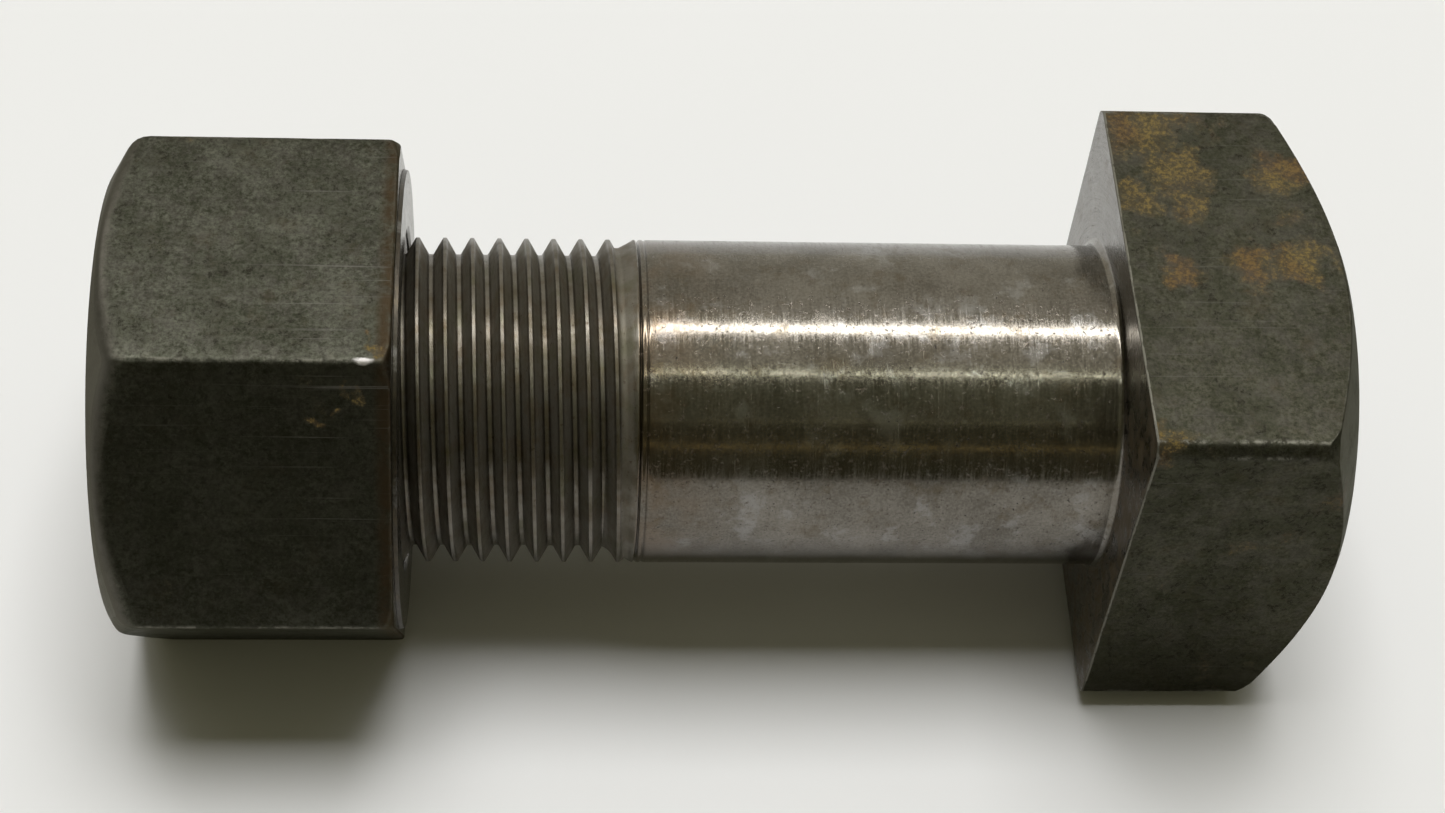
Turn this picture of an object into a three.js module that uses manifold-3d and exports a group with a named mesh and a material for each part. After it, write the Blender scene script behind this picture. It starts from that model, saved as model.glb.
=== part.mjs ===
// A large machined bolt with a square head, and the hexagon nut that runs on its thread.
//
// Millimetres. +X runs along the bolt's axis towards the head, and +Z is normal to the top flats of
// the head and the nut. The origin is on the axis, midway between the head's end and the nut's
// outer face.

import * as THREE from "three";
import { mergeVertices } from "three/addons/utils/BufferGeometryUtils.js";
import Module from "manifold-3d";

// Thread, 1-1/2 inch with 8 threads to the inch, right-hand, 60 degree flanks
const THREAD_DIAMETER = 38.1;
const THREAD_PITCH = 3.175;
const THREAD_DEPTH = 1.95;
const THREAD_CREST_FLAT = THREAD_PITCH / 8;
const THREAD_HALF_ANGLE = Math.PI / 6;
// Where the crest crosses +Y, as a part of one pitch in from the bolt's end
const THREAD_PHASE = 0.58;

// Bolt, cut from 2 inch square bar
const LENGTH_UNDER_HEAD = 114.3;
const PLAIN_SHANK_LENGTH = 55;
const RUN_OUT_ANGLE = THREE.MathUtils.degToRad(28);
const RUN_OUT_FADE_TURNS = 0.5;
const UNDERHEAD_FILLET = 0.8;
const END_CHAMFER = 2.4;
const HEAD_ACROSS_FLATS = 50.8;
const HEAD_HEIGHT = 25.4;
const HEAD_CORNER_FLAT = 1.7;
const HEAD_END_DIAMETER = 48.3;
const HEAD_CHAMFER_ANGLE = THREE.MathUtils.degToRad(27);

// Nut
const NUT_ACROSS_FLATS = 55.4;
const NUT_THICKNESS = 33.3;
const NUT_OUTER_FACE_DIAMETER = 52.6;
const NUT_INNER_FACE_DIAMETER = 61.2;
const NUT_CHAMFER_ANGLE = THREE.MathUtils.degToRad(30);
const NUT_COUNTERSINK_DIAMETER = 39.6;
const WASHER_FACE_DIAMETER = 54;
const WASHER_FACE_HEIGHT = 0.35;
const WASHER_FACE_BORE = 40.4;
const WASHER_FACE_GAP = 0.15;
// How far the nut's outer face stands past the end of the bolt
const NUT_OVERHANG = 0.5;

// Room between the nut's thread and the bolt's, at the roots and square to the flanks
const THREAD_CLEARANCE = 0.3;
const RADIAL_CLEARANCE = 0.35;

const TURN_SEGMENTS = 28;
const CHAMFER_SEGMENTS = 48;
const FILLET_STEPS = 3;

const SHANK_RADIUS = THREAD_DIAMETER / 2;
const ROOT_RADIUS = SHANK_RADIUS - THREAD_DEPTH;
const HALF_LENGTH = (NUT_OVERHANG + LENGTH_UNDER_HEAD + HEAD_HEIGHT) / 2;

// Places along the axis
const HEAD_END_X = HALF_LENGTH;
const UNDERHEAD_X = HEAD_END_X - HEAD_HEIGHT;
const BOLT_END_X = UNDERHEAD_X - LENGTH_UNDER_HEAD;
const RUN_OUT_END_X = UNDERHEAD_X - PLAIN_SHANK_LENGTH;
const RUN_OUT_START_X = RUN_OUT_END_X - THREAD_DEPTH / Math.tan(RUN_OUT_ANGLE);
const NUT_OUTER_X = -HALF_LENGTH;
const NUT_BEARING_X = NUT_OUTER_X + NUT_THICKNESS;
const NUT_BODY_END_X = NUT_BEARING_X - WASHER_FACE_HEIGHT - WASHER_FACE_GAP;
const HELIX_X = BOLT_END_X + THREAD_PHASE * THREAD_PITCH;

const X = new THREE.Vector3(1, 0, 0);
const Y = new THREE.Vector3(0, 1, 0);
const Z = new THREE.Vector3(0, 0, 1);

const wasm = await Module();
wasm.setup();

function solid(geometry) {
  geometry.deleteAttribute("normal");
  geometry.deleteAttribute("uv");
  const merged = mergeVertices(geometry);
  return new wasm.Manifold(
    new wasm.Mesh({
      numProp: 3,
      vertProperties: new Float32Array(merged.attributes.position.array),
      triVerts: new Uint32Array(merged.index.array),
    }),
  );
}

function geometryOf(manifold) {
  const mesh = manifold.getMesh();
  const geometry = new THREE.BufferGeometry();
  geometry.setAttribute("position", new THREE.BufferAttribute(mesh.vertProperties, 3));
  geometry.setIndex(new THREE.BufferAttribute(mesh.triVerts, 1));
  return geometry;
}

// A solid of revolution about X, from [x, radius] points listed in the direction of +X. Its
// corners lie halfway between the thread's, so the two never meet edge to edge.
function turned(profile, segments) {
  const points = profile.map(([x, radius]) => new THREE.Vector2(radius, x));
  const geometry = new THREE.LatheGeometry(points, segments, Math.PI / segments);
  geometry.applyMatrix4(new THREE.Matrix4().makeBasis(Z, X, Y));
  return solid(geometry);
}

function cylinder(radius, startX, endX, segments) {
  const profile = [
    [startX, 0],
    [startX, radius],
    [endX, radius],
    [endX, 0],
  ];
  return turned(profile, segments);
}

// A bar along X whose section is the regular polygon of that many sides. A flat faces +Z, or is
// turned away from it by flatAngle.
function bar(sides, acrossFlats, startX, endX, flatAngle = 0) {
  const cornerRadius = acrossFlats / 2 / Math.cos(Math.PI / sides);
  const corners = [];
  for (let i = 0; i < sides; i++) {
    const angle = flatAngle + Math.PI / 2 + ((i + 0.5) * 2 * Math.PI) / sides;
    corners.push(new THREE.Vector2(cornerRadius * Math.cos(angle), cornerRadius * Math.sin(angle)));
  }
  const geometry = new THREE.ExtrudeGeometry(new THREE.Shape(corners), {
    depth: endX - startX,
    bevelEnabled: false,
  });
  geometry.applyMatrix4(new THREE.Matrix4().makeBasis(Y, Z, X));
  geometry.translate(startX, 0, 0);
  return solid(geometry);
}

// The thread's width along the axis at a radius, for a crest of that radius and width
function widthAt(radius, crestRadius, crestWidth) {
  return crestWidth + 2 * (crestRadius - radius) * Math.tan(THREAD_HALF_ANGLE);
}

// A rod whose surface is one helical ridge with sloping flanks, right-handed about +X, and the flat
// root between its turns. Each end closes to a point on the axis. The ridge sinks to the root over
// the last fadeTurns of its length.
function helicalRod({ startX, endX, rootRadius, crestRadius, crestWidth, fadeTurns }) {
  const first = Math.floor(((startX - HELIX_X) / THREAD_PITCH) * TURN_SEGMENTS);
  const last = Math.ceil(((endX - HELIX_X) / THREAD_PITCH) * TURN_SEGMENTS);
  const halfRoot = widthAt(rootRadius, crestRadius, crestWidth) / 2;
  const positions = [];
  for (let i = first; i <= last; i++) {
    const x = HELIX_X + (THREAD_PITCH * i) / TURN_SEGMENTS;
    const angle = (2 * Math.PI * i) / TURN_SEGMENTS;
    const height = fadeTurns > 0 ? Math.min(1, 0.1 + (last - i) / TURN_SEGMENTS / fadeTurns) : 1;
    const top = rootRadius + (crestRadius - rootRadius) * height;
    const halfTop = widthAt(top, crestRadius, crestWidth) / 2;
    const section = [
      [-halfRoot, rootRadius],
      [-halfTop, top],
      [halfTop, top],
      [halfRoot, rootRadius],
    ];
    for (const [along, radius] of section) {
      positions.push(x + along, radius * Math.cos(angle), radius * Math.sin(angle));
    }
  }
  const stations = last - first + 1;
  const startTip = positions.length / 3;
  positions.push(HELIX_X + (THREAD_PITCH * first) / TURN_SEGMENTS - 2 * THREAD_PITCH, 0, 0);
  positions.push(HELIX_X + (THREAD_PITCH * last) / TURN_SEGMENTS + 2 * THREAD_PITCH, 0, 0);
  const index = [
    ...ridgeFaces(stations),
    ...fan(startTip, startLoop()),
    ...fan(startTip + 1, endLoop(stations)),
  ];
  const geometry = new THREE.BufferGeometry();
  geometry.setAttribute("position", new THREE.Float32BufferAttribute(positions, 3));
  geometry.setIndex(index);
  return solid(geometry);
}

// The rod's flanks, crest and root, as triangles between one station's section and the next. Each
// station has four points, from the root before the ridge to the root after it, and the flat root
// runs from there to the first point of the station one turn on.
function ridgeFaces(stations) {
  const faces = [];
  for (let i = 0; i + 1 < stations; i++) {
    for (let side = 0; side < 4; side++) {
      const a = 4 * i + side;
      const b = side < 3 ? a + 1 : 4 * (i + TURN_SEGMENTS);
      if (side < 3 || i + 1 + TURN_SEGMENTS < stations) {
        faces.push(a, b + 4, b, a, a + 4, b + 4);
      }
    }
  }
  return faces;
}

// The edge left open at the rod's start: one turn of the root before the ridge, then the section
function startLoop() {
  const loop = [];
  for (let i = 0; i <= TURN_SEGMENTS; i++) {
    loop.push(4 * i);
  }
  loop.push(3, 2, 1);
  return loop;
}

// The edge left open at the rod's end: the section, then one turn of the root after the ridge
function endLoop(stations) {
  const end = 4 * (stations - 1);
  const loop = [end, end + 1, end + 2];
  for (let i = 0; i <= TURN_SEGMENTS; i++) {
    loop.push(end + 3 - 4 * i);
  }
  return loop;
}

function fan(tip, loop) {
  const faces = [];
  loop.forEach((point, i) => faces.push(tip, loop[(i + 1) % loop.length], point));
  return faces;
}

function boltThread() {
  return helicalRod({
    startX: BOLT_END_X - THREAD_PITCH,
    endX: RUN_OUT_END_X - THREAD_CREST_FLAT,
    rootRadius: ROOT_RADIUS,
    crestRadius: SHANK_RADIUS,
    crestWidth: THREAD_CREST_FLAT,
    fadeTurns: RUN_OUT_FADE_TURNS,
  });
}

// The unthreaded part of the shank: run-out cone, plain cylinder and the fillet under the head
function plainShank() {
  const profile = [
    [RUN_OUT_START_X - 1, 0],
    [RUN_OUT_START_X - 1, ROOT_RADIUS - Math.tan(RUN_OUT_ANGLE)],
    [RUN_OUT_END_X, SHANK_RADIUS],
  ];
  for (let i = 0; i <= FILLET_STEPS; i++) {
    const angle = (i / FILLET_STEPS) * (Math.PI / 2);
    profile.push([
      UNDERHEAD_X - UNDERHEAD_FILLET * (1 - Math.sin(angle)),
      SHANK_RADIUS + UNDERHEAD_FILLET * (1 - Math.cos(angle)),
    ]);
  }
  profile.push([UNDERHEAD_X + 1, SHANK_RADIUS + UNDERHEAD_FILLET]);
  profile.push([UNDERHEAD_X + 1, 0]);
  return turned(profile, TURN_SEGMENTS);
}

// Everything inside this survives when the end of the bolt is faced and chamfered
function endEnvelope() {
  const outer = SHANK_RADIUS + 2;
  const profile = [
    [BOLT_END_X, 0],
    [BOLT_END_X, SHANK_RADIUS - END_CHAMFER],
    [BOLT_END_X + outer - SHANK_RADIUS + END_CHAMFER, outer],
    [RUN_OUT_END_X + 4 * THREAD_PITCH, outer],
    [RUN_OUT_END_X + 4 * THREAD_PITCH, 0],
  ];
  return turned(profile, TURN_SEGMENTS);
}

// Square bar with its corners taken off and its end turned to a wide chamfer
function head() {
  const cornerDistance = HEAD_ACROSS_FLATS / Math.SQRT2 - HEAD_CORNER_FLAT / 2;
  const square = bar(4, HEAD_ACROSS_FLATS, UNDERHEAD_X, HEAD_END_X);
  const corners = bar(4, 2 * cornerDistance, UNDERHEAD_X - 1, HEAD_END_X + 1, Math.PI / 4);
  const endRadius = HEAD_END_DIAMETER / 2;
  const outer = cornerDistance + 5;
  const chamfer = turned(
    [
      [UNDERHEAD_X - 1, 0],
      [UNDERHEAD_X - 1, outer],
      [HEAD_END_X - (outer - endRadius) * Math.tan(HEAD_CHAMFER_ANGLE), outer],
      [HEAD_END_X, endRadius],
      [HEAD_END_X, 0],
    ],
    CHAMFER_SEGMENTS,
  );
  return square.intersect(corners).intersect(chamfer);
}

function bolt() {
  const thread = boltThread().intersect(endEnvelope());
  return thread.add(plainShank()).add(head());
}

// Everything inside this survives when the nut's two ends are chamfered
function nutEnvelope() {
  const outer = NUT_ACROSS_FLATS * 0.7;
  const slope = Math.tan(NUT_CHAMFER_ANGLE);
  const outerFaceRadius = NUT_OUTER_FACE_DIAMETER / 2;
  const innerFaceRadius = NUT_INNER_FACE_DIAMETER / 2;
  const profile = [
    [NUT_OUTER_X, 0],
    [NUT_OUTER_X, outerFaceRadius],
    [NUT_OUTER_X + (outer - outerFaceRadius) * slope, outer],
    [NUT_BODY_END_X - (outer - innerFaceRadius) * slope, outer],
    [NUT_BODY_END_X, innerFaceRadius],
    [NUT_BODY_END_X, 0],
  ];
  return turned(profile, CHAMFER_SEGMENTS);
}

// A cone that opens the nut's thread at a face. towards is the way out of the nut: 1 or -1 along X.
function countersink(faceX, towards) {
  const depth = NUT_COUNTERSINK_DIAMETER / 2 - ROOT_RADIUS + 1;
  const mouth = NUT_COUNTERSINK_DIAMETER / 2;
  const profile = [
    [faceX - towards * depth, 0],
    [faceX - towards * depth, mouth - depth],
    [faceX + towards, mouth + 1],
    [faceX + towards, 0],
  ];
  return turned(towards > 0 ? profile : profile.reverse(), TURN_SEGMENTS);
}

// The bolt's own thread with room added round it
function nutThread() {
  const flankRoom = THREAD_CLEARANCE / Math.cos(THREAD_HALF_ANGLE);
  const crestRadius = SHANK_RADIUS + RADIAL_CLEARANCE;
  return helicalRod({
    startX: NUT_OUTER_X - 2 * THREAD_PITCH,
    endX: NUT_BODY_END_X + 2 * THREAD_PITCH,
    rootRadius: ROOT_RADIUS + RADIAL_CLEARANCE,
    crestRadius,
    crestWidth: widthAt(crestRadius, SHANK_RADIUS, THREAD_CREST_FLAT) + 2 * flankRoom,
    fadeTurns: 0,
  });
}

function hexNut() {
  const blank = bar(6, NUT_ACROSS_FLATS, NUT_OUTER_X, NUT_BODY_END_X).intersect(nutEnvelope());
  return blank
    .subtract(nutThread())
    .subtract(countersink(NUT_OUTER_X, -1))
    .subtract(countersink(NUT_BODY_END_X, 1));
}

// The round raised face that the nut bears on
function washerFace() {
  const disc = cylinder(
    WASHER_FACE_DIAMETER / 2,
    NUT_BEARING_X - WASHER_FACE_HEIGHT,
    NUT_BEARING_X,
    CHAMFER_SEGMENTS,
  );
  const hole = cylinder(WASHER_FACE_BORE / 2, NUT_OUTER_X, UNDERHEAD_X, TURN_SEGMENTS);
  return disc.subtract(hole);
}

function piece(name, manifold, color, roughness) {
  const material = new THREE.MeshStandardMaterial({ color, roughness, metalness: 1 });
  const mesh = new THREE.Mesh(geometryOf(manifold), material);
  mesh.name = name;
  return mesh;
}

const boltAndNut = new THREE.Group();
boltAndNut.add(piece("bolt", bolt(), 0x8a8274, 0.35));
boltAndNut.add(piece("hex_nut", hexNut(), 0x55574d, 0.5));
boltAndNut.add(piece("nut_washer_face", washerFace(), 0x9a968e, 0.35));

export default boltAndNut;
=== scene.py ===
"""Looks for the square head bolt and its nut: skins, finishes, floor, lights and camera.

Lengths are in millimetres, apart from the lamps' sizes and distances, which are in metres. +X
runs along the bolt's axis towards the head and +Z is up. An angle round the axis is measured
from +Y towards +Z.
"""

import math
from collections import namedtuple

import bpy
from mathutils import Matrix, Vector, noise


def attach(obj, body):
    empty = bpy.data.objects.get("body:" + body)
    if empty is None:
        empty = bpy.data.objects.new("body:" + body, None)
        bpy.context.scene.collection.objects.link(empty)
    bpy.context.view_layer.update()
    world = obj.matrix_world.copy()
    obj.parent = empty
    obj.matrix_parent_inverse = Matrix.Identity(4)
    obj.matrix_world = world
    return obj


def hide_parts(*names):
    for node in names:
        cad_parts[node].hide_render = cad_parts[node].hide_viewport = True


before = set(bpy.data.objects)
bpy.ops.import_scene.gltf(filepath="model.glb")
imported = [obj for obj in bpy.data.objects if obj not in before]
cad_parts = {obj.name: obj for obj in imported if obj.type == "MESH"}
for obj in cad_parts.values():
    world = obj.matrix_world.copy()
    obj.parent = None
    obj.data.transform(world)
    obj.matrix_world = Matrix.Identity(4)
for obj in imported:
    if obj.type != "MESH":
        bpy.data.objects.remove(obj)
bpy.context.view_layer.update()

MM = 0.001

# Thread
THREAD_PITCH = 3.175
SHANK_RADIUS = 19.05
ROOT_RADIUS = 17.1
CREST_FLAT = THREAD_PITCH / 8
CREST_ROUNDING = 0.09
ROOT_ROUNDING = 0.25
# The middle of the first crest at angle 0, as a part of one pitch in from the bolt's end
THREAD_PHASE = 0.58

# Bolt
BOLT_END_X = -69.6
HELIX_X = BOLT_END_X + THREAD_PHASE * THREAD_PITCH
END_RADIUS = 16.65
END_ROUNDING = 0.2
# The thread's rows start this far along the chamfer of the end
END_BEVEL = 0.5
RUN_OUT_END_X = -10.3
RUN_OUT_SLOPE = math.tan(math.radians(28))
# Fine rings that the tool left beside the run-out: place along the axis, depth
TOOL_RINGS = ((-10.0, 0.24), (-9.2, 0.14))
TOOL_RING_HALF_WIDTH = 0.26
UNDERHEAD_X = 44.7
UNDERHEAD_FILLET = 0.8
HEAD_END_X = 70.1
HEAD_HALF_WIDTH = 25.4
HEAD_CORNER_DISTANCE = 35.07
HEAD_END_RADIUS = 24.15
HEAD_CHAMFER_SLOPE = math.tan(math.radians(27))
CORNER_BEVEL_RADIUS = 34.1
CORNER_BEVEL_SLOPE = 1.4
HEAD_SMALLEST_BEVEL = 0.3
UNDERHEAD_ROUNDING = 0.16
HEAD_EDGE_ROUNDING = 0.4
# The head's far top corner, at this angle, is rounder than the others out to this reach
FAR_CORNER_ANGLE = math.radians(45)
FAR_CORNER_REACH = math.radians(12)
FAR_CORNER_ROUNDING = 0.9
FAR_CORNER_EXTRA_RADIUS = 0.4

# Nut
NUT_OUTER_X = -70.1
NUT_INNER_X = -37.3
NUT_HALF_WIDTH = 27.7
NUT_OUTER_FACE_RADIUS = 26.3
NUT_INNER_FACE_RADIUS = 30.6
NUT_SMALLEST_BEVEL = 0.35
NUT_CHAMFER_SLOPE = math.tan(math.radians(30))
CHAMFER_APEX_X = NUT_OUTER_X - NUT_OUTER_FACE_RADIUS * NUT_CHAMFER_SLOPE
NUT_MOUTH_RADIUS = 19.8
NUT_GROOVE_RADIUS = 19.4
NUT_RIDGE_RADIUS = 17.45
NUT_GROOVE_FLAT = 0.686
NUT_GROOVE_ROUNDING = 0.1
NUT_RIDGE_ROUNDING = 0.08
# Outer face, outer chamfer, inner chamfer, inner face
NUT_EDGE_ROUNDINGS = (1.2, 3.0, 1.6, 1.5)

# Washer face turned on the nut
RING_START_X = -37.28
RING_END_X = -36.8
RING_RADIUS = 27
RING_RIM_BEVEL = 0.15
RING_BORE_RADIUS = 20.2
RING_BORE_BEVEL = 0.2
# The rim's foot, the rim, the bore
RING_EDGE_ROUNDINGS = (0.02, 0.06, 0.1)
# How far in from the rim the darker wall finish, a painted shade, reaches
RING_WALL_DEPTH = 0.22

# Even columns round the axis, then extra ones beside each edge, with the least gap between an
# even one and an extra one. The offsets and the gap are in degrees.
COLUMNS = 144
EDGE_OFFSETS = (0, 0.15, 0.3, 0.5, 0.9)
SMALLEST_GAP = 0.6
# A straight has a point this near each of its ends, but no further in than this share of it
EDGE_SUPPORT = 0.12
RING_SUPPORT = 0.05
SUPPORT_SHARE = 0.2
# A bend takes up at most this share of the straights beside it
BEND_SHARE = 0.42
BEND_STEPS = 4
RIDGE_BEND_STEPS = 2
FILLET_STEPS = 6
SHANK_ROWS = 30
# Rows across a tool ring, as shares of its half width
TOOL_RING_ROWS = (-1, -0.3, 0, 0.3, 1)
# How many points are spread inside each straight of an outline
END_POINTS = (5, 0)
HEAD_POINTS = (6, 18, 0, 3, 6)
NUT_POINTS = (4, 3, 24, 1, 6)
RING_POINTS = (1, 1, 6, 1)
# The rows of the head's underside: its straight, with a point near each end, and its rim's first
UNDERHEAD_ROWS = HEAD_POINTS[0] + 3
# Skins that don't close on themselves start and end this far from the axis
CAP_RADIUS = 2
# A thread's rows keep this distance from what they meet
ROW_GAP = 0.1
END_ROW_GAP = 0.05
# Two places closer than this count as the same
TOUCHING = 0.01
# A prism's side counts where the cosine of the angle to it is more than this
PRISM_LEAST_FACING = 0.1
# How sharp a prism's long edges are: the higher, the sharper
HEAD_SHARPNESS = 8
NUT_SHARPNESS = 5

# Wear, which is 1 on a plain edge and more where an edge is rubbed all along
EDGE_WEAR_WIDTH = 0.5
HEAD_RIM_WEAR = 0.5
NUT_RIM_WEAR = 0.3
UNDERHEAD_WEAR = 12
UNDERHEAD_WEAR_DEPTH = 1
# Small knocks in a worn edge: how many to a millimetre, depth
KNOCKS = ((0.31, 0.1), (1.3, 0.05))

# Rust blooms on the head's top: along the axis, across it, radius
HEAD_BLOOMS = (
    (48.6, 21.6, 7.0),
    (47.0, 10.0, 3.4),
    (51.8, 14.8, 5.6),
    (53.2, 9.4, 3.6),
    (63.6, 14.6, 4.4),
    (51.0, -0.6, 3.6),
    (58.4, 0.6, 4.4),
    (64.6, 1.4, 4.8),
    (46.6, -23.8, 3.2),
)
# Rust blooms on the nut's near side: x, y, z, radius
NUT_BLOOMS = (
    (-40.6, -18.0, 24.3, 1.6),
    (-45.0, -19.6, 21.5, 1.4),
    (-38.4, -13.4, 27.6, 1.4),
)
HEAD_STRAY_RUST = 0.5
NUT_STRAY_RUST = 0.3
# The nut's near side faces this way, and painted shade makes it darker than the rest
NEAR_SIDE = (0, -math.cos(math.radians(30)), math.sin(math.radians(30)))
# A bright rubbed spot near the bearing end of the nut's upper near edge
RUBBED_SPOT = (-40.2, -16.0, 27.7)
RUBBED_LENGTH = 2.8
RUBBED_RADIUS = 0.6
# The head's underside is rusty, but not on the side that lies this way
UPPER_FAR = (0, 0.8, 0.6)
UP = (0, 0, 1)

# Lowest and highest roughness of turned steel, and the depth of each finish's fine relief
SHANK_ROUGHNESS = (0.1, 0.27)
FACED_ROUGHNESS = (0.16, 0.3)
WALL_ROUGHNESS = (0.3, 0.45)
TURNED_RELIEF = 0.007
THREAD_RELIEF = 0.02
SCALE_RELIEF = 0.02

# Colours of turned steel
SHANK_DARK, SHANK_LIGHT = (0.095, 0.086, 0.071), (0.205, 0.19, 0.167)
FACED_DARK, FACED_LIGHT = (0.08, 0.075, 0.065), (0.15, 0.141, 0.125)
# Painted shade: the washer face's outer wall is coloured darker than other turned steel
WALL_PAINTED_SHADE_DARK, WALL_PAINTED_SHADE_LIGHT = (0.03, 0.026, 0.02), (0.07, 0.063, 0.052)
HAZE_GREY = (0.29, 0.285, 0.28)
STAIN_BROWN = (0.095, 0.075, 0.048)
RUN_OUT_BROWN = (0.1, 0.062, 0.03)
SPECK_BROWN = (0.07, 0.045, 0.028)
PIT_BROWN = (0.025, 0.019, 0.014)
RING_DIRT = (0.02, 0.015, 0.01)
SEAT_RUST = (0.11, 0.075, 0.032)

# Colours of the thread
THREAD_CLEAN, THREAD_DIRTY = (0.15, 0.138, 0.118), (0.07, 0.058, 0.038)
FLANK_GREY = (0.13, 0.118, 0.09)
THREAD_BROWN = (0.095, 0.066, 0.038)
THREAD_GREEN = (0.085, 0.085, 0.045)
THREAD_SPECK = (0.05, 0.03, 0.016)

# Colours of the dark scale on the head and the nut
HEAD_DARK, HEAD_LIGHT = (0.024, 0.024, 0.015), (0.072, 0.07, 0.052)
NUT_DARK, NUT_LIGHT = (0.025, 0.026, 0.017), (0.1, 0.101, 0.081)
WARM_GREY = (0.066, 0.06, 0.054)
SCALE_BROWN = (0.05, 0.038, 0.022)
ROUGH_PATCH = (0.026, 0.028, 0.017)
SCALE_PIT = (0.011, 0.009, 0.006)
# Painted shade that darkens the head's sides towards their lowest edges
LOW_SIDE_PAINTED_SHADE = (0.012, 0.011, 0.006)
HEAD_SCRATCH = (0.11, 0.105, 0.095)
NUT_SCRATCH = (0.12, 0.115, 0.105)
# Painted shade laid over the nut's near side
NEAR_SIDE_PAINTED_SHADE = (0.012, 0.012, 0.006)
# Painted light that makes the nut's outer chamfer paler
CHAMFER_PAINTED_LIGHT = (0.13, 0.121, 0.105)
BEARING_END_BROWN = (0.042, 0.028, 0.015)
WORN_EDGE = (0.13, 0.125, 0.105)
RUBBED_BRIGHT = (0.5, 0.48, 0.48)
RUST_FILM_BROWN, RUST_FILM_RED = (0.074, 0.05, 0.018), (0.08, 0.041, 0.015)
RUST_GOLD, RUST_ORANGE = (0.165, 0.115, 0.032), (0.145, 0.088, 0.026)
SCALE_REFLECTION = (0.45, 0.45, 0.4, 1)

# Studio
FLOOR_Z = -NUT_HALF_WIDTH
FLOOR_RADIUS = 600
FLOOR_CORNERS = 96
FLOOR_DARK, FLOOR_LIGHT = (0.87, 0.87, 0.87), (0.9, 0.9, 0.9)
# Lamps: name, elevation in degrees, distance, length, width, brightness, colour
REFLECTED_LAMPS = (
    ("overhead_strip", 105, 0.55, 1.1, 0.048, 18, (1, 1, 1)),
    ("slim_strip", 73, 0.7, 1.2, 0.01, 16, (0.95, 1.0, 0.84)),
    ("rear_panel", 131.5, 1.0, 2.6, 3.4, 0.69, (1.0, 0.97, 0.88)),
    ("front_panel", 56, 1.2, 2.0, 0.7, 0.12, (0.95, 1.0, 0.75)),
    ("upper_warm_line", 39.6, 1.0, 1.5, 0.01, 1.0, (1.0, 0.95, 0.6)),
    ("lower_warm_line", 21.5, 1.0, 1.5, 0.01, 2.0, (1.0, 0.75, 0.3)),
)
SOFT_LAMPS = (
    ("main_fill", 100, 2.0, 1.1, 1.1, 8.2, (1, 1, 1)),
    ("wide_fill", 115, 2.0, 2.4, 2.4, 0.5, (1, 1, 1)),
)
ROOM_COLOUR = (1.0, 0.95, 0.58, 1)
ROOM_STRENGTH = 0.11
BACKDROP_STRENGTH = 0.75
CAMERA_PLACE = (-23.3, -195.67, 258.45)
CAMERA_TURN = (37.08, -3.62, -2.16)
CAMERA_LENS = 68.18

# One point of a skin. The same key in two neighbouring columns joins them.
Row = namedtuple("Row", "key x radius wear finish")


# ---------------------------------------------------------------- outlines


def on_surface(x, radius, angle):
    """The point this far along the axis and from it, at an angle round it."""
    return Vector((x, radius * math.cos(angle), radius * math.sin(angle)))


def bend(before, corner, after, radius, steps):
    """Points along the curve that rounds a corner, from where it starts to where it ends."""
    corner = Vector(corner)
    back = Vector(before) - corner
    ahead = Vector(after) - corner
    half_turn = (math.pi - back.angle(ahead)) / 2
    reach = min(
        radius * math.tan(half_turn), BEND_SHARE * back.length, BEND_SHARE * ahead.length
    )
    start = corner + back.normalized() * reach
    end = corner + ahead.normalized() * reach
    shares = [i / steps for i in range(steps + 1)]
    return [start.lerp(corner, t).lerp(corner.lerp(end, t), t) for t in shares]


def straight(start, end, count, support):
    """Points inside a straight: one near each end, and count spread evenly between."""
    length = (end - start).length
    edge = min(support / length, SUPPORT_SHARE)
    shares = [edge + (1 - 2 * edge) * i / (count + 1) for i in range(count + 2)]
    return [start.lerp(end, share) for share in shares]


def rounded_line(corners, radii, counts, support=EDGE_SUPPORT):
    """Points (x, radius, wear) along a bent line with rounded corners.

    radii has one value for each inner corner, and counts the points inside each straight.
    """
    corners = [Vector(corner) for corner in corners]
    bends = [
        bend(corners[i], corners[i + 1], corners[i + 2], radius, BEND_STEPS)
        for i, radius in enumerate(radii)
    ]
    starts = [corners[0]] + [points[-1] for points in bends]
    ends = [points[0] for points in bends] + [corners[-1]]
    line = [(*corners[0], 0.0)]
    for i, count in enumerate(counts):
        line += [(*point, 0.0) for point in straight(starts[i], ends[i], count, support)]
        if i < len(bends):
            line += [(*point, 1.0) for point in bends[i]]
    line.append((*corners[-1], 0.0))
    return line


def ridge_profile(crest_radius, root_radius, crest_flat, crest_rounding, root_rounding):
    """One pitch of a 60 degree thread, from the middle of one root up to the next root."""
    half_crest = crest_flat / 2
    half_root = half_crest + (crest_radius - root_radius) * math.tan(math.radians(30))
    half_pitch = THREAD_PITCH / 2
    corners = [
        Vector((-half_pitch, root_radius)),
        Vector((-half_root, root_radius)),
        Vector((-half_crest, crest_radius)),
        Vector((half_crest, crest_radius)),
        Vector((half_root, root_radius)),
        Vector((half_pitch, root_radius)),
    ]
    roundings = [root_rounding, crest_rounding, crest_rounding, root_rounding]
    points = [corners[0]]
    for i, rounding in enumerate(roundings):
        points += bend(corners[i], corners[i + 1], corners[i + 2], rounding, RIDGE_BEND_STEPS)
        flank_follows = i in (0, 2)
        if flank_follows:
            points.append((corners[i + 1] + corners[i + 2]) / 2)
    return points


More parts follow.
